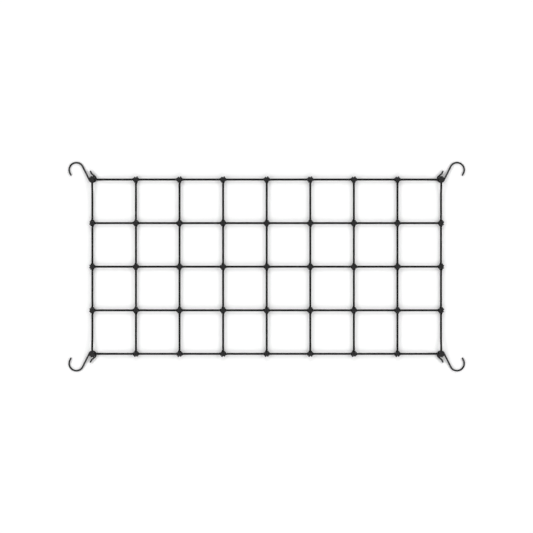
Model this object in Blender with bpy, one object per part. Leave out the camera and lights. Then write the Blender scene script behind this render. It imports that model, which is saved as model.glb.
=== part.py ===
"""A small elastic cargo net: square meshes of knotted shock cord, with a wire hook at each corner.

It lies flat on the ground. +X runs along the net, +Y across it and +Z up. The origin is on the
ground under the middle of the net. Every length is in metres and every angle in degrees.

The column cords run across the net and carry the knots. The row cords run along it, and each is in
separate spans from knot to knot, so that the net can fold on the line of any column cord.
"""

import math

import bmesh
import bpy
from mathutils import Matrix, Vector

MM = 0.001

# The net
PITCH = 114.3 * MM  # one square mesh, from cord to cord
MESHES_LONG = 8
MESHES_ACROSS = 4
CORD_RADIUS = 2.5 * MM
KNOT_HEIGHT = 14.0 * MM  # a knot across its flats; it lies on the ground on one of them
CORD_SIDES = 8
GAP = 0.3 * MM  # between pieces that meet

# The hooks, each bent from one length of round wire
WIRE_RADIUS = 2.0 * MM
CROOK_RADIUS = 18.8 * MM  # the large bend, which goes over a rail
CROOK_STEPS = 15  # an odd number puts one flat facet at the crown
TIP_LENGTH = 8.5 * MM
SHAFT_LENGTH = 40.6 * MM
SHAFT_LEAN = 63.3  # from the row cords, leaning outwards
EYE_RADIUS = 8.9 * MM  # the small bend, round the corner knot
EYE_SWEEP = 204.0
EYE_STEPS = 17
EYE_RUN = 9.5 * MM
FLARE_RADIUS = 5.0 * MM  # the end of the wire turns back, parallel to the shaft
FLARE_SWEEP = 24.0
FLARE_STEPS = 2
FLARE_RUN = 7.7 * MM

# The corner knots are tall, with a slim stem inside the hook's eye and a wide head above it. There
# the row cord dips under the eye and the column cord climbs over it. The hook's pull draws the knot
# a little off the line of the row cord.
EYE_HEIGHT = 7.1 * MM
CORNER_DRAW_ALONG = -0.4 * MM
CORNER_DRAW_ACROSS = 2.0 * MM
CORNER_STEM_RADIUS = 6.4 * MM
CORNER_HEAD_RADIUS = 8.6 * MM
CORNER_KNOT_HEIGHT = 15.6 * MM
CORNER_KNOT_SIDES = 12
ROW_DIP_HEIGHT = 2.6 * MM
COLUMN_CLIMB_HEIGHT = 12.8 * MM
CROSSING_LENGTH = 13.0 * MM  # how far from the corner a cord keeps clear of the eye
CROSSING_END = 45.0 * MM  # where it is back at the net's own height
CROSSING_STEPS = 6

SHARP_ANGLE = 50.0  # a steeper edge between two faces stays crisp

# Derived sizes
CORD_HEIGHT = KNOT_HEIGHT / 2
FLAT_TURN = math.pi / CORD_SIDES  # turns a tube so that it has a flat underneath
OVER_EDGES = 1 / math.cos(FLAT_TURN)  # a tube's size over its edges, from its size over its flats
SPAN_START = KNOT_HEIGHT / 2 * OVER_EDGES + GAP  # from a column's axis to a row span's end
HALF_ACROSS = PITCH * MESHES_ACROSS / 2

# A knot along its column cord: the distance from its middle and the radius there.
KNOT_PROFILE = (
    (3.2 * MM, KNOT_HEIGHT / 2),
    (5.2 * MM, 5.3 * MM),
    (7.2 * MM, CORD_RADIUS),
)
KNOT_END = (6.4 * MM, 3.4 * MM)  # the outer end of an edge knot, which has no cord beyond it

# A corner knot, turned about the vertical: the height and the radius there.
CORNER_KNOT_PROFILE = (
    (0.0, 4.8 * MM),
    (1.3 * MM, CORNER_STEM_RADIUS),
    (10.4 * MM, CORNER_STEM_RADIUS),
    (10.7 * MM, CORNER_HEAD_RADIUS),
    (13.6 * MM, CORNER_HEAD_RADIUS),
    (CORNER_KNOT_HEIGHT, 5.8 * MM),
)

CORNERS = {
    "hook_back_left": (-1, 1),
    "hook_back_right": (1, 1),
    "hook_front_left": (-1, -1),
    "hook_front_right": (1, -1),
}


def clear_scene():
    for found in list(bpy.data.objects):
        bpy.data.objects.remove(found, do_unlink=True)


def principled(name, colour, roughness, metallic):
    material = bpy.data.materials.new(name)
    material.use_nodes = True
    shader = material.node_tree.nodes["Principled BSDF"]
    shader.inputs["Base Color"].default_value = (*colour, 1.0)
    shader.inputs["Roughness"].default_value = roughness
    shader.inputs["Metallic"].default_value = metallic
    return material


def add_object(name, data, material):
    data.materials.append(material)
    made = bpy.data.objects.new(name, data)
    bpy.context.collection.objects.link(made)
    return made


def tube(name, route, material, radius):
    """A bar along a route of (point, radius) pairs, with flats above, below and at its sides.

    A radius is half the size over the flats.
    """
    data = bpy.data.curves.new(name, "CURVE")
    data.dimensions = "3D"
    data.twist_mode = "Z_UP"
    data.bevel_depth = radius * OVER_EDGES
    data.bevel_resolution = CORD_SIDES // 2 - 2
    data.use_fill_caps = True
    data.render_resolution_u = 0
    spline = data.splines.new("POLY")
    spline.points.add(len(route) - 1)
    for point, (place, here) in zip(spline.points, route, strict=True):
        point.co = (*place, 1.0)
        point.radius = here / radius
        point.tilt = FLAT_TURN
    return add_object(name, data, material)


def blend(share):
    """A smooth step from 0 to 1."""
    return (1 - math.cos(math.pi * share)) / 2


def knot_rings(row):
    """(place along the column, radius) of the knot on this row, from the front to the back."""
    middle = HALF_ACROSS - row * PITCH
    back = KNOT_PROFILE if row > 0 else (*KNOT_PROFILE[:2], KNOT_END)
    front = KNOT_PROFILE if row < MESHES_ACROSS else (*KNOT_PROFILE[:2], KNOT_END)
    return [(middle - away, radius) for away, radius in reversed(front)] + [
        (middle + away, radius) for away, radius in back
    ]


def column_x(column):
    return (column - MESHES_LONG / 2) * PITCH


def inner_column(column, material):
    """A straight column cord with a knot on each row."""
    rings = [ring for row in reversed(range(MESHES_ACROSS + 1)) for ring in knot_rings(row)]
    x = column_x(column)
    route = [(Vector((x, along, CORD_HEIGHT)), radius) for along, radius in rings]
    return tube(f"column_cord_{column + 1}", route, material, CORD_RADIUS)


def corner_place(x_side, y_side):
    """The middle of a corner knot, seen from above."""
    x = column_x(MESHES_LONG) + CORNER_DRAW_ALONG
    return x_side * x, y_side * (HALF_ACROSS + CORNER_DRAW_ACROSS)


def crossing(height):
    """(distance from the corner, height) where a cord leaves the corner for the net's own height."""
    away = [(0.0, height)]
    for step in range(CROSSING_STEPS + 1):
        share = step / CROSSING_STEPS
        place = CROSSING_LENGTH + share * (CROSSING_END - CROSSING_LENGTH)
        away.append((place, height + blend(share) * (CORD_HEIGHT - height)))
    return away


def corner_knot(name, x, y, material):
    """A cutter: the turned shape of a corner knot, for a union with its column cord."""
    mesh = bmesh.new()
    outline = [mesh.verts.new((radius, 0, height)) for height, radius in CORNER_KNOT_PROFILE]
    outline = [mesh.verts.new((0, 0, 0)), *outline, mesh.verts.new((0, 0, CORNER_KNOT_HEIGHT))]
    edges = [mesh.edges.new(pair) for pair in zip(outline, outline[1:])]
    bmesh.ops.spin(
        mesh,
        geom=outline + edges,
        axis=(0, 0, 1),
        cent=(0, 0, 0),
        angle=math.tau,
        steps=CORNER_KNOT_SIDES,
        use_merge=True,
    )
    bmesh.ops.remove_doubles(mesh, verts=mesh.verts, dist=GAP / 100)
    bmesh.ops.recalc_face_normals(mesh, faces=mesh.faces)
    data = bpy.data.meshes.new(name)
    mesh.to_mesh(data)
    mesh.free()
    data.shade_smooth()
    data.set_sharp_from_angle(angle=math.radians(SHARP_ANGLE))
    made = add_object(name, data, material)
    made.location = (x, y, 0)
    made.hide_render = True
    made.display_type = "WIRE"
    return made


def outer_column(column, material):
    """A column cord at the end of the net. It climbs over the eyes of two hooks."""
    name = f"column_cord_{column + 1}"
    x = column_x(column)
    climb = crossing(COLUMN_CLIMB_HEIGHT)
    front = [(away - HALF_ACROSS, height, CORD_RADIUS) for away, height in climb]
    back = [(HALF_ACROSS - away, height, CORD_RADIUS) for away, height in reversed(climb)]
    middle = [
        (along, CORD_HEIGHT, radius)
        for row in reversed(range(1, MESHES_ACROSS))
        for along, radius in knot_rings(row)
    ]
    route = [(Vector((x, along, z)), radius) for along, z, radius in front + middle + back]
    guide = tube(name + "_route", route, material, CORD_RADIUS)
    bpy.context.view_layer.update()
    scene_state = bpy.context.evaluated_depsgraph_get()
    data = bpy.data.meshes.new_from_object(guide.evaluated_get(scene_state))
    bpy.data.objects.remove(guide)
    data.materials.clear()
    made = add_object(name, data, material)
    for side, y_side in (("front", -1), ("back", 1)):
        join = made.modifiers.new(f"{side}_knot", "BOOLEAN")
        join.operation = "UNION"
        place = corner_place(math.copysign(1, x), y_side)
        join.object = corner_knot(f"{name}_{side}_knot", *place, material)
    return made


def row_span(row, mesh, material):
    """One row cord from knot to knot. At a corner it dips under the hook's eye."""
    left = column_x(mesh) + SPAN_START
    right = column_x(mesh + 1) - SPAN_START
    y = HALF_ACROSS - row * PITCH
    route = [(left, CORD_HEIGHT), (right, CORD_HEIGHT)]
    if row in (0, MESHES_ACROSS) and mesh in (0, MESHES_LONG - 1):
        dip = [(SPAN_START, ROW_DIP_HEIGHT), *crossing(ROW_DIP_HEIGHT)[1:]]
        if mesh == 0:
            route = [(column_x(0) + away, height) for away, height in dip] + route[1:]
        else:
            route = route[:1] + [
                (column_x(MESHES_LONG) - away, height) for away, height in reversed(dip)
            ]
    places = [(Vector((x, y, height)), CORD_RADIUS) for x, height in route]
    return tube(f"row_cord_{row + 1}_span_{mesh + 1}", places, material, CORD_RADIUS)


class Wire:
    """A wire bent in its own plane, as a list of points. It is bent forwards from a place and heading."""

    def __init__(self, place, heading):
        self.points = [Vector(place)]
        self.heading = math.radians(heading)

    def run(self, length):
        ahead = Vector((math.cos(self.heading), math.sin(self.heading)))
        self.points.append(self.points[-1] + length * ahead)

    def bend(self, radius, sweep, steps):
        """Turns left by sweep degrees, or right if it is negative."""
        turn = math.radians(sweep)
        side = math.copysign(math.pi / 2, turn)
        centre = self.points[-1] + radius * Vector(
            (math.cos(self.heading + side), math.sin(self.heading + side))
        )
        for step in range(1, steps + 1):
            angle = self.heading - side + turn * step / steps
            self.points.append(centre + radius * Vector((math.cos(angle), math.sin(angle))))
        self.heading += turn


def hook_outline():
    """The back left hook seen from above, from its tip to its flared end, about the eye's centre."""
    up = 180 - SHAFT_LEAN
    side = Vector((math.cos(math.radians(up + 90)), math.sin(math.radians(up + 90))))
    along = Vector((math.cos(math.radians(up)), math.sin(math.radians(up))))
    crook_start = (EYE_RADIUS + 2 * CROOK_RADIUS) * side + (SHAFT_LENGTH - TIP_LENGTH) * along
    wire = Wire(crook_start, up)
    wire.run(TIP_LENGTH)
    wire.bend(CROOK_RADIUS, -180, CROOK_STEPS)
    wire.run(SHAFT_LENGTH)
    wire.bend(EYE_RADIUS, EYE_SWEEP, EYE_STEPS)
    wire.run(EYE_RUN)
    wire.bend(FLARE_RADIUS, -FLARE_SWEEP, FLARE_STEPS)
    wire.run(FLARE_RUN)
    return wire.points


def hook(name, x_side, y_side, material):
    """A hook with its eye round a corner knot, tipped so that its crown rests on the ground."""
    route = [(Vector((-x_side * p.x, y_side * p.y, 0)), WIRE_RADIUS) for p in hook_outline()]
    made = tube(name, route, material, WIRE_RADIUS)
    lean = math.radians(SHAFT_LEAN)
    outwards = Vector((x_side * math.cos(lean), y_side * math.sin(lean), 0))
    fall = EYE_HEIGHT - WIRE_RADIUS - GAP
    tip = math.asin(fall / (SHAFT_LENGTH + CROOK_RADIUS))
    turn = Matrix.Rotation(tip, 4, Vector((0, 0, 1)).cross(outwards))
    place = Vector((*corner_place(x_side, y_side), EYE_HEIGHT))
    made.matrix_world = Matrix.Translation(place) @ turn
    return made


def build():
    clear_scene()
    cord = principled("elastic_cord", (0.012, 0.012, 0.013), 0.8, 0.0)
    steel = principled("hook_wire", (0.07, 0.07, 0.075), 0.35, 0.9)
    for column in range(MESHES_LONG + 1):
        make = outer_column if column in (0, MESHES_LONG) else inner_column
        make(column, cord)
    for row in range(MESHES_ACROSS + 1):
        for mesh in range(MESHES_LONG):
            row_span(row, mesh, cord)
    for name, (x_side, y_side) in CORNERS.items():
        hook(name, x_side, y_side, steel)


build()
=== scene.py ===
"""The looks of the elastic cargo net: braided cord, tied knots and bent wire hooks.

Lengths are in metres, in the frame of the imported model. A knot's own points are in millimetres.
"""

import math

import bpy
import numpy as np
from mathutils import Matrix, Vector


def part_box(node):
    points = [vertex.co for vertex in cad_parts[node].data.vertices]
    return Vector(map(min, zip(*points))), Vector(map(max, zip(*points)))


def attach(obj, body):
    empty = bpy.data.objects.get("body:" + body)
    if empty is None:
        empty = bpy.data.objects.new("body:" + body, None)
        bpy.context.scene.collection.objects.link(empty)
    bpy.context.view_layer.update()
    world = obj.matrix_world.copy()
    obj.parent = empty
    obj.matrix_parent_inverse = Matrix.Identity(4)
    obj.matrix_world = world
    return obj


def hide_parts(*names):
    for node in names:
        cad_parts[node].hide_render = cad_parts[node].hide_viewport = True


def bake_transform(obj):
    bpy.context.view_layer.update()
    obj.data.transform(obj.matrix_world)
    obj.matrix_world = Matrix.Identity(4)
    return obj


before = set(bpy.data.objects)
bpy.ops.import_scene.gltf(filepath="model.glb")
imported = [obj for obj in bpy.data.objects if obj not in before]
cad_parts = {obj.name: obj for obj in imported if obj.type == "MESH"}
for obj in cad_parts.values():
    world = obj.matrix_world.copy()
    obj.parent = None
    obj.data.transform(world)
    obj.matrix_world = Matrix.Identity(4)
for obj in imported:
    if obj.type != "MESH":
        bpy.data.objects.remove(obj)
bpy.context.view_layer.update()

MM = 0.001
COLUMNS = 9
ROWS = 5
MIDDLE = COLUMNS // 2

# The cord
CORD_RADIUS = 2.75 * MM  # over the yarns, which stand a little proud of the solid
KNOT_CORD_RADIUS = 2.3 * MM  # elastic cord draws thin where a knot pulls on it
CORD_SIDES = 40
CORD_STEP = 0.45 * MM
LEAST_STEPS = 8  # between two points of a route, however close they are
YARNS = 8  # in each of the braid's two directions
YARN_LAY = 2.1 * MM  # along the cord, from one yarn to the next
YARN_RELIEF = 0.22 * MM
YARN_WEAVE = 0.09 * MM  # how far a yarn rises where it goes over and sinks where it goes under
CORD_TIP_STEPS = 4
FIRST_RING = 0.35  # how far into the first step of a rounded end its first ring lies
HIGHLIGHT_LOW = 9.0 * MM  # a knot's cords are painted paler, a painted highlight, from this height up to the next
HIGHLIGHT_HIGH = 13.5 * MM
GROUND_CLEARANCE = 0.1 * MM  # a knot lies on the ground on a slight flat
KNOT_REACH = 10.5  # mm from a knot's middle to where its cords run straight
FULL_FROM, FULL_OVER = 6.6, 3.0  # mm from a knot's middle where its cords begin to widen, and how soon
FADE_FROM, FADE_OVER = 6.8, 4.0  # the same for a corner knot's return to the cords' line
STRAIGHT_LEAD = 3.0  # mm of straight cord that a knot's points hold in line

# The crossings of the cords and the hooks' eyes, as in the solids
ROW_DIP = 2.6 * MM
COLUMN_CLIMB = 12.8 * MM
CROSSING_LENGTH = 13.0 * MM
CROSSING_END = 45.0 * MM
CROSSING_STEPS = 6

# The hooks, as in the solids
WIRE_RADIUS = 2.0 * MM
PLATING = 0.25 * MM  # the plated wire is that much thicker all round
CROOK_RADIUS = 18.8 * MM
TIP_LENGTH = 8.5 * MM
SHAFT_LENGTH = 40.6 * MM
SHAFT_LEAN = 63.3  # degrees, from the rows' direction to the shaft's
EYE_RADIUS = 8.9 * MM
EYE_SWEEP = 204.0
EYE_RUN = 9.5 * MM
EYE_HEIGHT = 7.1 * MM
CORNER_DRAW_ALONG = -0.4 * MM  # the hook's pull draws a corner knot off the line of the cords
CORNER_DRAW_ACROSS = 2.0 * MM
FLARE_RADIUS = 5.0 * MM
FLARE_SWEEP = 24.0
FLARE_RUN = 7.7 * MM
WIRE_CLEARANCE = 0.3 * MM
WIRE_SIDES = 28
WIRE_STEP = 0.6 * MM
WIRE_TIP_STEPS = 6

# The materials. Colours are (place, colour) at the two ends of a blend.
# The cord's first pair of colours runs from painted shade in a yarn's grooves to painted highlight on its
# crown, with random tone between; the second pair is paler, painted highlight for a knot's raised top.
PLAIN_CORD = (0.3, (0.0008, 0.0008, 0.0009)), (1.0, (0.011, 0.011, 0.0115))
PAINTED_HIGHLIGHT_CORD = (0.3, (0.0015, 0.0015, 0.0016)), (1.0, (0.04, 0.04, 0.041))
CORD_GLOSS = 0.1
THREAD_SCALES = (14.0, 0.8, 31.0)  # across a yarn, along it, and from one direction's yarns to the other's
PLATED_WIRE = (0.3, (0.025, 0.025, 0.026)), (0.75, (0.046, 0.046, 0.048))
DRAW_LINE_SCALES = (9.0, 9.0, 0.12)  # round the wire, and along it
PATCH_SCALE = 160.0
BUMP_DEPTH = 0.05 * MM

# The floor
FLOOR_REACH = 12.0
FLOOR_TONE = 0.93

# The view
VIEW_WIDTH = 1.398
CAMERA_HEIGHT = 5.0
SENSOR = 36.0  # mm
VIEW_OFFSET = (-0.0005, 0.0005)

# The light: a room that is paler towards its walls, distant soft light from all four sides, and a
# near softbox on each side, as (name, x, y, watts)
SKY_AT_FLOOR = 0.86
SKY_OVERHEAD = 0.26
FILL_STRENGTH = 0.42
FILL_SOFTNESS = 22.0
SOFTBOX_HEIGHT = 1.1
SOFTBOX_SIZE = (0.7, 0.4)
SOFTBOXES = (
    ("softbox_left", -1.15, 0.0, 4.0),
    ("softbox_right", 1.15, 0.0, 4.0),
    ("softbox_back", 0.0, 1.25, 3.0),
    ("softbox_front", 0.0, -1.25, 3.0),
)


# ---------------------------------------------------------------- places in the frame


def middle_of(node, axis):
    low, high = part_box(node)
    return (low[axis] + high[axis]) / 2


SECOND_X, THIRD_X = middle_of("column_cord_2", 0), middle_of("column_cord_3", 0)
COLUMN_X = [SECOND_X + (column - 1) * (THIRD_X - SECOND_X) for column in range(COLUMNS)]
ROW_Y = [middle_of(f"row_cord_{row + 1}_span_2", 1) for row in range(ROWS)]
CORD_HEIGHT = middle_of(f"row_cord_{ROWS // 2 + 1}_span_{MIDDLE}", 2)


def panel(column):
    """The body that holds this column cord."""
    if column == MIDDLE:
        return "middle_cord"
    return f"right_panel_{column - MIDDLE}" if column > MIDDLE else f"left_panel_{MIDDLE - column}"


# ---------------------------------------------------------------- routes


def curve_through(points, step):
    """Points a step apart on a smooth curve through (x, y, z, radius) rows."""
    points = np.array(points, float)
    gaps = np.linalg.norm(np.diff(points[:, :3], axis=0), axis=1) ** 0.5
    slopes = np.diff(points, axis=0) / gaps[:, None]
    before, after = gaps[:-1, None], gaps[1:, None]
    inner = (slopes[:-1] * after + slopes[1:] * before) / (before + after)
    slopes = np.vstack([slopes[:1], inner, slopes[-1:]])
    pieces = []
    for k, gap in enumerate(gaps):
        count = max(LEAST_STEPS, int(gap**2 / step * 2))
        t = np.linspace(0, 1, count, endpoint=False)[:, None]
        pieces.append(
            (2 * t**3 - 3 * t**2 + 1) * points[k]
            + (t**3 - 2 * t**2 + t) * gap * slopes[k]
            + (3 * t**2 - 2 * t**3) * points[k + 1]
            + (t**3 - t**2) * gap * slopes[k + 1]
        )
    dense = np.vstack([*pieces, points[-1:]])
    along = np.concatenate([[0], np.cumsum(np.linalg.norm(np.diff(dense[:, :3], axis=0), axis=1))])
    places = np.linspace(0, along[-1], int(along[-1] / step) + 1)
    return np.stack([np.interp(places, along, dense[:, k]) for k in range(4)], axis=1)


def ring_frames(route):
    """Two directions square to the route at each point, carried along it without twist."""
    tangents = np.gradient(route[:, :3], axis=0)
    tangents /= np.linalg.norm(tangents, axis=1)[:, None]
    side = np.cross(tangents[0], (0.0, 0.0, 1.0))
    sides = []
    for tangent in tangents:
        side = side - tangent * (side @ tangent)
        side = side / math.sqrt(side @ side)
        sides.append(side)
    sides = np.array(sides)
    return sides, np.cross(tangents, sides)


def tip_scale(count, steps):
    """Rounds the first and last rings of a tube towards its ends."""
    scale = np.ones(count)
    for k in range(steps):
        share = (k + FIRST_RING) / steps
        scale[k] = scale[count - 1 - k] = math.sqrt(1 - (1 - share) ** 2)
    return scale


def tube_mesh(name, rings, attributes):
    """A closed tube from rings of points, with a value at each point for each named attribute."""
    count, sides = rings.shape[:2]
    mesh = bpy.data.meshes.new(name)
    mesh.vertices.add(count * sides)
    mesh.vertices.foreach_set("co", rings.astype(np.float32).ravel())
    row = np.arange(count - 1)[:, None] * sides
    here = np.arange(sides)[None, :]
    beside = (here + 1) % sides
    quads = np.stack([row + here, row + beside, row + sides + beside, row + sides + here], axis=2)
    caps = np.concatenate([np.arange(sides)[::-1], (count - 1) * sides + np.arange(sides)])
    corners = np.concatenate([quads.reshape(-1), caps])
    starts = np.concatenate(
        [np.arange((count - 1) * sides) * 4, (count - 1) * sides * 4 + np.array([0, sides])]
    )
    mesh.loops.add(len(corners))
    mesh.loops.foreach_set("vertex_index", corners.astype(np.int32))
    mesh.polygons.add(len(starts))
    mesh.polygons.foreach_set("loop_start", starts.astype(np.int32))
    mesh.update(calc_edges=True)
    mesh.shade_smooth()
    for key, values in attributes.items():
        layer = mesh.attributes.new(key, "FLOAT", "POINT")
        layer.data.foreach_set("value", np.broadcast_to(values, (count, sides)).astype(np.float32).ravel())
    return mesh


def link(name, mesh, material):
    mesh.materials.append(material)
    made = bpy.data.objects.new(name, mesh)
    bpy.context.collection.objects.link(made)
    return made


# ---------------------------------------------------------------- braided cord


def braid(angle, along):
    """Height of the sheath, its place across a yarn and which way that yarn runs.

    Each yarn goes over two of the other direction's yarns and then under two.
    """
    turn = YARNS * angle / math.tau
    first, second = turn + along / YARN_LAY, turn - along / YARN_LAY
    yarn_a, yarn_b = np.round(first), np.round(second)
    across_a, across_b = first - yarn_a, second - yarn_b
    crown_a = np.sqrt(np.maximum(0, 1 - (2 * across_a) ** 2))
    crown_b = np.sqrt(np.maximum(0, 1 - (2 * across_b) ** 2))
    wave_a = np.cos(math.pi / 2 * (second - yarn_a) - math.pi / 4)
    wave_b = np.cos(math.pi / 2 * (yarn_b - first) - math.pi / 4)
    height_a = YARN_RELIEF * crown_a + YARN_WEAVE * wave_a
    height_b = YARN_RELIEF * crown_b - YARN_WEAVE * wave_b
    over = height_a >= height_b
    return np.maximum(height_a, height_b), np.where(over, across_a, across_b), over * 1.0


def cord(name, points, material):
    """A braided cord through (x, y, z, radius) points."""
    route = curve_through(points, CORD_STEP)
    sides, ups = ring_frames(route)
    count = len(route)
    angle = np.linspace(0, math.tau, CORD_SIDES, endpoint=False)[None, :]
    along = (np.arange(count) * CORD_STEP)[:, None]
    height, across, way = braid(angle, along)
    top = YARN_RELIEF + YARN_WEAVE
    radius = (route[:, 3:4] - top + height) * tip_scale(count, CORD_TIP_STEPS)[:, None]
    rings = route[:, None, :3] + radius[..., None] * (
        np.cos(angle)[..., None] * sides[:, None, :] + np.sin(angle)[..., None] * ups[:, None, :]
    )
    rings[..., 2] = np.maximum(rings[..., 2], GROUND_CLEARANCE)
    drawn = (CORD_RADIUS - route[:, 3:4]) / (CORD_RADIUS - KNOT_CORD_RADIUS)
    # Painted highlight on a knot's raised top: its drawn-in cords are painted paler from the lower height
    # up to the higher.
    raised = np.clip((rings[..., 2] - HIGHLIGHT_LOW) / (HIGHLIGHT_HIGH - HIGHLIGHT_LOW), 0, 1)
    values = {"across": across, "along": along / YARN_LAY, "way": way, "crown": height / top}
    values["painted_highlight"] = drawn * raised
    return link(name, tube_mesh(name, rings, values), material)


# ---------------------------------------------------------------- knots
# Each knot is two interlocked round turns. The column strand and the row strand cross twice in
# front, over and under, and go behind each other on the way back. Points are (x, y, z) in mm from
# the knot's middle, with +Z to the front.

COLUMN_TURN = [
    (-2.5, 2.4, 1.5),
    (-2.5, -2.4, 5.2),
    (-2.9, -5.2, 3.9),
    (-2.9, -6.2, 0.2),
    (-2.0, -4.4, -3.2),
    (0.0, 0.0, -4.9),
    (2.0, 4.4, -3.2),
    (2.9, 6.2, 0.2),
    (2.9, 5.2, 3.9),
    (2.5, 2.4, 5.2),
    (2.5, -2.4, 1.5),
]
COLUMN_LEAD = [(0.0, KNOT_REACH, 0.0), (-1.1, 8.0, 0.3), (-2.7, 5.0, 0.9)]
COLUMN_TAIL = [(-3.4, 5.6, -2.0), (-2.9, 5.0, 0.2)]

ROW_TURN_WEST = [(-2.4, 2.4, 5.2), (2.4, 2.4, 1.5), (5.2, 2.6, 1.3), (6.2, 2.3, -0.6), (4.6, 1.3, -1.9)]
ROW_TURN_EAST = [(-x, -y, z) for x, y, z in reversed(ROW_TURN_WEST)]
ROW_MIDDLE = (0.0, 0.0, -1.7)
ROW_LEAD = [(-KNOT_REACH, 0.0, 0.0), (-8.0, 0.8, 0.6), (-5.2, 2.3, 3.2)]
ROW_TAIL = [(-5.8, 3.4, -1.4), (-5.1, 2.9, 1.8)]

# A corner knot, as at the back left, has the two strands' parts exchanged. It is drawn in to fit
# the hook's eye, and its head spreads over the eye. Its row cord leaves low, under the eye, and its
# column cord leaves high, over it.
CORNER_LOW = (ROW_DIP - CORD_HEIGHT) / MM
CORNER_HIGH = (COLUMN_CLIMB - CORD_HEIGHT) / MM
CORNER_COLUMN = [
    (-1.6, 3.4, -1.0),
    (-2.6, 5.0, 4.7),
    (-2.2, 1.2, 6.3),
    (-2.2, -3.4, 5.0),
    (-2.6, -7.4, 4.9),
    (-1.6, -4.6, 0.9),
    (-0.6, -1.8, -2.2),
    (0.6, 1.8, -2.2),
    (1.6, 3.6, 0.5),
    (2.5, 5.2, 4.7),
    (2.2, 1.2, 5.0),
    (2.0, -3.4, 6.5),
    (1.2, -7.2, 6.2),
    (0.0, -10.6, CORNER_HIGH),
]
CORNER_ROW = [
    (-3.6, 1.2, -1.4),
    (-6.2, 1.6, 4.8),
    (-2.4, 1.2, 5.0),
    (2.4, 1.2, 6.3),
    (6.2, 1.5, 5.0),
    (3.7, 1.0, 0.5),
    (0.0, 0.0, -4.2),
    (-3.9, -1.6, 0.2),
    (-6.4, -3.6, 4.8),
    (-2.4, -3.4, 6.3),
    (2.4, -3.4, 4.8),
    (3.9, -2.6, 1.0),
    (4.4, -2.2, -2.6),
    (7.4, -1.6, CORNER_LOW + 0.1),
    (11.0, -0.4, CORNER_LOW),
]


def turned(points):
    """The same points half a turn round, in the opposite order."""
    return [(-x, -y, z) for x, y, z in reversed(points)]


def placed(points, column, row):
    """A knot's points in the frame, with the cord thin inside the knot and full outside it."""
    rows = []
    for x, y, z in points:
        share = min(1.0, max(0.0, (math.hypot(x, y) - FULL_FROM) / FULL_OVER))
        radius = KNOT_CORD_RADIUS + share * (CORD_RADIUS - KNOT_CORD_RADIUS)
        rows.append((COLUMN_X[column] + x * MM, ROW_Y[row] + y * MM, CORD_HEIGHT + z * MM, radius))
    return rows


def corner_placed(points, column, row):
    """A corner knot's points in the frame, fading from the knot's drawn place to the cords' line."""
    mirror = corner_mirror(column, row)
    rows = placed(points, column, row)
    for k, (x, y, z) in enumerate(points):
        share = min(1.0, max(0.0, (math.hypot(x, y) - FADE_FROM) / FADE_OVER))
        x = x * MM - CORNER_DRAW_ALONG * (1 - share)
        y = y * MM + CORNER_DRAW_ACROSS * (1 - share)
        rows[k] = (COLUMN_X[column] + mirror[0] * x, ROW_Y[row] + mirror[1] * y, *rows[k][2:])
    return rows


def corner_mirror(column, row):
    """How the back left corner's knot is mirrored here, or None away from the corners."""
    if column not in (0, COLUMNS - 1) or row not in (0, ROWS - 1):
        return None
    return (1 if column == 0 else -1, 1 if row == 0 else -1)


def crossing(height):
    """(distance from a corner, height) of a cord between a hook's eye and the net's own height."""
    pairs = []
    for step in range(CROSSING_STEPS + 1):
        share = step / CROSSING_STEPS
        rise = (1 - math.cos(math.pi * share)) / 2
        place = CROSSING_LENGTH + share * (CROSSING_END - CROSSING_LENGTH)
        pairs.append((place, height + rise * (CORD_HEIGHT - height)))
    return pairs


def column_knot(column, row):
    """The column strand of one knot, from the back to the front."""
    mirror = corner_mirror(column, row)
    if mirror is None:
        lead = COLUMN_LEAD if row > 0 else COLUMN_TAIL
        leave = turned(COLUMN_LEAD if row < ROWS - 1 else COLUMN_TAIL)
        return placed([*lead, *COLUMN_TURN, *leave], column, row)
    rows = corner_placed(CORNER_COLUMN, column, row) + [
        (COLUMN_X[column], ROW_Y[row] - mirror[1] * place, height, CORD_RADIUS)
        for place, height in crossing(COLUMN_CLIMB)
    ]
    return rows if row == 0 else rows[::-1]


def column_cord(column, material):
    points = []
    for row in range(ROWS):
        knot = column_knot(column, row)
        if points:
            points.append((COLUMN_X[column], knot[0][1] + STRAIGHT_LEAD * MM, CORD_HEIGHT, CORD_RADIUS))
        points += knot
        if row < ROWS - 1:
            points.append((COLUMN_X[column], knot[-1][1] - STRAIGHT_LEAD * MM, CORD_HEIGHT, CORD_RADIUS))
    name = f"column_cord_{column + 1}"
    made = cord(f"braided_{name}", points, material)
    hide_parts(name)
    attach(made, panel(column))


def corner_row(column, row):
    """The row strand of a corner knot, from its hidden end to where it runs level along the net."""
    mirror = corner_mirror(column, row)
    return corner_placed(CORNER_ROW, column, row) + [
        (COLUMN_X[column] + mirror[0] * place, ROW_Y[row], height, CORD_RADIUS)
        for place, height in crossing(ROW_DIP)
    ]


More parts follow.
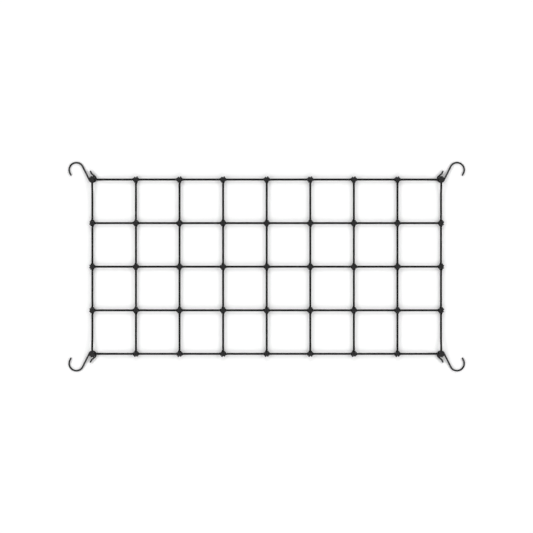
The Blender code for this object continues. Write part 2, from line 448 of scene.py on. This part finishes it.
def row_cord(row, span, material):
    """A row cord from the middle of one knot to the middle of the next, or to its end at an edge."""
    left, right = span, span + 1
    if corner_mirror(left, row):
        start = corner_row(left, row)
    elif left == 0:
        strand = [*ROW_TAIL, *ROW_TURN_WEST, ROW_MIDDLE, *ROW_TURN_EAST, *turned(ROW_LEAD)]
        start = placed(strand, left, row)
    else:
        start = placed([ROW_MIDDLE, *ROW_TURN_EAST, *turned(ROW_LEAD)], left, row)
    if corner_mirror(right, row):
        finish = corner_row(right, row)[::-1]
    elif right == COLUMNS - 1:
        strand = [*ROW_LEAD, *ROW_TURN_WEST, ROW_MIDDLE, *ROW_TURN_EAST, *turned(ROW_TAIL)]
        finish = placed(strand, right, row)
    else:
        finish = placed([*ROW_LEAD, *ROW_TURN_WEST, ROW_MIDDLE], right, row)
    lead = STRAIGHT_LEAD * MM
    straight = [(start[-1][0] + lead, ROW_Y[row], CORD_HEIGHT, CORD_RADIUS)]
    straight.append((finish[0][0] - lead, ROW_Y[row], CORD_HEIGHT, CORD_RADIUS))
    name = f"row_cord_{row + 1}_span_{span + 1}"
    made = cord(f"braided_{name}", [*start, *straight, *finish], material)
    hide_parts(name)
    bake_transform(made)


# ---------------------------------------------------------------- hooks


class Wire:
    """A wire bent in its own plane, forwards from a place and heading, as closely spaced points."""

    def __init__(self, place, heading):
        self.points = [np.array(place, float)]
        self.heading = math.radians(heading)

    def run(self, length):
        ahead = np.array((math.cos(self.heading), math.sin(self.heading)))
        count = max(2, round(length / WIRE_STEP))
        start = self.points[-1]
        self.points += [start + ahead * length * k / count for k in range(1, count + 1)]

    def bend(self, radius, sweep):
        """Turns left by sweep degrees, or right if it is negative."""
        turn = math.radians(sweep)
        side = math.copysign(math.pi / 2, turn)
        centre = self.points[-1] + radius * np.array(
            (math.cos(self.heading + side), math.sin(self.heading + side))
        )
        count = max(4, round(abs(turn) * radius / WIRE_STEP))
        for k in range(1, count + 1):
            angle = self.heading - side + turn * k / count
            self.points.append(centre + radius * np.array((math.cos(angle), math.sin(angle))))
        self.heading += turn


def hook_outline():
    """The back left hook seen from above, from its tip to its flared end, about the eye's centre."""
    up = 180 - SHAFT_LEAN
    side = np.array((math.cos(math.radians(up + 90)), math.sin(math.radians(up + 90))))
    along = np.array((math.cos(math.radians(up)), math.sin(math.radians(up))))
    start = (EYE_RADIUS + 2 * CROOK_RADIUS) * side + (SHAFT_LENGTH - TIP_LENGTH) * along
    wire = Wire(start, up)
    wire.run(TIP_LENGTH)
    wire.bend(CROOK_RADIUS, -180)
    wire.run(SHAFT_LENGTH)
    wire.bend(EYE_RADIUS, EYE_SWEEP)
    wire.run(EYE_RUN)
    wire.bend(FLARE_RADIUS, -FLARE_SWEEP)
    wire.run(FLARE_RUN)
    return np.array(wire.points)


def hook(name, x_side, y_side, material):
    outline = hook_outline()
    count = len(outline)
    route = np.zeros((count, 4))
    route[:, 0] = -x_side * outline[:, 0]
    route[:, 1] = y_side * outline[:, 1]
    sides, ups = ring_frames(route)
    angle = np.linspace(0, math.tau, WIRE_SIDES, endpoint=False)[None, :]
    radius = ((WIRE_RADIUS + PLATING) * tip_scale(count, WIRE_TIP_STEPS))[:, None, None]
    rings = route[:, None, :3] + radius * (
        np.cos(angle)[..., None] * sides[:, None, :] + np.sin(angle)[..., None] * ups[:, None, :]
    )
    along = np.concatenate([[0], np.cumsum(np.linalg.norm(np.diff(outline, axis=0), axis=1))])[:, None]
    values = {"along": along / MM, "round_x": np.cos(angle), "round_y": np.sin(angle)}
    made = link(f"bent_{name}", tube_mesh(name, rings, values), material)
    lean = math.radians(SHAFT_LEAN)
    outwards = Vector((x_side * math.cos(lean), y_side * math.sin(lean), 0))
    fall = EYE_HEIGHT - WIRE_RADIUS - WIRE_CLEARANCE
    tip = math.asin(fall / (SHAFT_LENGTH + CROOK_RADIUS))
    turn = Matrix.Rotation(tip, 4, Vector((0, 0, 1)).cross(outwards))
    x = COLUMN_X[0 if x_side < 0 else -1] + x_side * CORNER_DRAW_ALONG
    y = ROW_Y[0 if y_side > 0 else -1] + y_side * CORNER_DRAW_ACROSS
    made.data.transform(Matrix.Translation((x, y, EYE_HEIGHT)) @ turn)
    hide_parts(name)
    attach(made, name)


# ---------------------------------------------------------------- materials


def new_material(name):
    material = bpy.data.materials.new(name)
    material.use_nodes = True
    nodes = material.node_tree.nodes
    return material, nodes, material.node_tree.links, nodes["Principled BSDF"]


def attribute(nodes, name):
    node = nodes.new("ShaderNodeAttribute")
    node.attribute_name = name
    return node.outputs["Fac"]


def math_node(nodes, links, operation, first, second):
    node = nodes.new("ShaderNodeMath")
    node.operation = operation
    for socket, value in zip(node.inputs, (first, second)):
        if isinstance(value, (int, float)):
            socket.default_value = value
        else:
            links.new(value, socket)
    return node.outputs[0]


def ramp(nodes, links, factor, low, high):
    """A blend between two (place, colour) stops."""
    node = nodes.new("ShaderNodeValToRGB")
    for element, (place, colour) in zip(node.color_ramp.elements, (low, high)):
        element.position = place
        element.color = (*colour, 1.0)
    links.new(factor, node.inputs["Fac"])
    return node.outputs["Color"]


def rescaled(nodes, links, names, factors):
    """A vector of three attributes, each multiplied by its own factor."""
    joined = nodes.new("ShaderNodeCombineXYZ")
    for socket, name, factor in zip(joined.inputs, names, factors):
        links.new(math_node(nodes, links, "MULTIPLY", attribute(nodes, name), factor), socket)
    return joined.outputs[0]


def noise_node(nodes, links, place, scale, detail):
    node = nodes.new("ShaderNodeTexNoise")
    node.inputs["Scale"].default_value = scale
    node.inputs["Detail"].default_value = detail
    links.new(place, node.inputs["Vector"])
    return node.outputs["Fac"]


def uneven_surface(nodes, links, shader, noise, roughness, spread, strength):
    """Roughness that varies with the noise, and a bump of its shape."""
    rough = math_node(nodes, links, "MULTIPLY_ADD", noise, spread)
    rough.node.inputs[2].default_value = roughness
    links.new(rough, shader.inputs["Roughness"])
    bump = nodes.new("ShaderNodeBump")
    bump.inputs["Strength"].default_value = strength
    bump.inputs["Distance"].default_value = BUMP_DEPTH
    links.new(noise, bump.inputs["Height"])
    links.new(bump.outputs["Normal"], shader.inputs["Normal"])


def cord_material():
    """A black polyester braid: fine threads along each yarn, with painted shade in the grooves and painted
    highlight on the yarns' crowns and on a knot's raised top.
    """
    material, nodes, links, shader = new_material("elastic_cord")
    threads = rescaled(nodes, links, ("across", "along", "way"), THREAD_SCALES)
    noise = noise_node(nodes, links, threads, 1.0, 3.0)
    uneven = math_node(nodes, links, "ADD", noise, 0.5)
    # Painted shade and highlight: the blend darkens towards the yarns' grooves and pales on their crowns,
    # with random tone from the noise.
    painted_shade_and_tone = math_node(nodes, links, "MULTIPLY", attribute(nodes, "crown"), uneven)
    plain = ramp(nodes, links, painted_shade_and_tone, *PLAIN_CORD)
    painted_highlight = ramp(nodes, links, painted_shade_and_tone, *PAINTED_HIGHLIGHT_CORD)
    colour = nodes.new("ShaderNodeMix")
    colour.data_type = "RGBA"
    # Painted highlight: the paler colour is blended in on a knot's raised top.
    links.new(attribute(nodes, "painted_highlight"), colour.inputs["Factor"])
    links.new(plain, colour.inputs["A"])
    links.new(painted_highlight, colour.inputs["B"])
    links.new(colour.outputs["Result"], shader.inputs["Base Color"])
    shader.inputs["Specular IOR Level"].default_value = CORD_GLOSS
    uneven_surface(nodes, links, shader, noise, roughness=0.45, spread=0.3, strength=0.5)
    return material


def wire_material():
    """Dark plated steel wire, with faint draw lines along it and a slightly uneven plating."""
    material, nodes, links, shader = new_material("hook_wire")
    lines = rescaled(nodes, links, ("round_x", "round_y", "along"), DRAW_LINE_SCALES)
    noise = noise_node(nodes, links, lines, 1.0, 4.0)
    place = nodes.new("ShaderNodeTexCoord")
    patch = noise_node(nodes, links, place.outputs["Object"], PATCH_SCALE, 2.0)
    links.new(ramp(nodes, links, patch, *PLATED_WIRE), shader.inputs["Base Color"])
    shader.inputs["Metallic"].default_value = 1.0
    uneven_surface(nodes, links, shader, noise, roughness=0.2, spread=0.22, strength=0.12)
    return material


# ---------------------------------------------------------------- the studio


def floor():
    mesh = bpy.data.meshes.new("floor")
    corners = [(-1, -1), (1, -1), (1, 1), (-1, 1)]
    mesh.from_pydata([(x * FLOOR_REACH, y * FLOOR_REACH, 0) for x, y in corners], [], [(0, 1, 2, 3)])
    material, nodes, links, shader = new_material("floor")
    shader.inputs["Base Color"].default_value = (FLOOR_TONE, FLOOR_TONE, FLOOR_TONE, 1.0)
    shader.inputs["Roughness"].default_value = 0.9
    shader.inputs["Specular IOR Level"].default_value = 0.0
    link("floor", mesh, material)


def sky():
    """A plain room, pale at the level of the floor and darker overhead."""
    world = bpy.data.worlds.new("studio")
    bpy.context.scene.world = world
    world.use_nodes = True
    nodes, links = world.node_tree.nodes, world.node_tree.links
    direction = nodes.new("ShaderNodeTexCoord")
    parts = nodes.new("ShaderNodeSeparateXYZ")
    links.new(direction.outputs["Generated"], parts.inputs[0])
    fade = nodes.new("ShaderNodeMapRange")
    fade.inputs["To Min"].default_value = SKY_AT_FLOOR
    fade.inputs["To Max"].default_value = SKY_OVERHEAD
    links.new(parts.outputs["Z"], fade.inputs["Value"])
    backdrop = nodes["Background"]
    backdrop.inputs["Color"].default_value = (1.0, 1.0, 1.0, 1.0)
    links.new(fade.outputs["Result"], backdrop.inputs["Strength"])


def lamp(name, kind, place):
    """A new lamp at a place, turned towards the middle of the net."""
    data = bpy.data.lights.new(name, kind)
    made = bpy.data.objects.new(name, data)
    made.location = place
    made.rotation_euler = (-Vector(place)).to_track_quat("-Z", "Y").to_euler()
    bpy.context.collection.objects.link(made)
    return data


def lights():
    sky()
    for name, x, y, watts in SOFTBOXES:
        data = lamp(name, "AREA", (x, y, SOFTBOX_HEIGHT))
        data.shape = "RECTANGLE"
        data.size, data.size_y = SOFTBOX_SIZE
        data.energy = watts
        fill = lamp(name.replace("softbox", "fill"), "SUN", (x, y, SOFTBOX_HEIGHT))
        fill.energy = FILL_STRENGTH
        fill.angle = math.radians(FILL_SOFTNESS)


def camera():
    data = bpy.data.cameras.new("camera")
    data.sensor_width = SENSOR
    data.lens = SENSOR * (CAMERA_HEIGHT - CORD_HEIGHT) / VIEW_WIDTH
    made = bpy.data.objects.new("camera", data)
    made.location = (*VIEW_OFFSET, CAMERA_HEIGHT)
    bpy.context.collection.objects.link(made)
    bpy.context.scene.camera = made


bpy.context.scene.view_settings.view_transform = "Standard"
camera()
floor()
lights()
cord_look = cord_material()
wire_look = wire_material()
for column in range(COLUMNS):
    column_cord(column, cord_look)
for row in range(ROWS):
    for span in range(COLUMNS - 1):
        row_cord(row, span, cord_look)
for side_y, word_y in ((1, "back"), (-1, "front")):
    for side_x, word_x in ((-1, "left"), (1, "right")):
        hook(f"hook_{word_y}_{word_x}", side_x, side_y, wire_look)
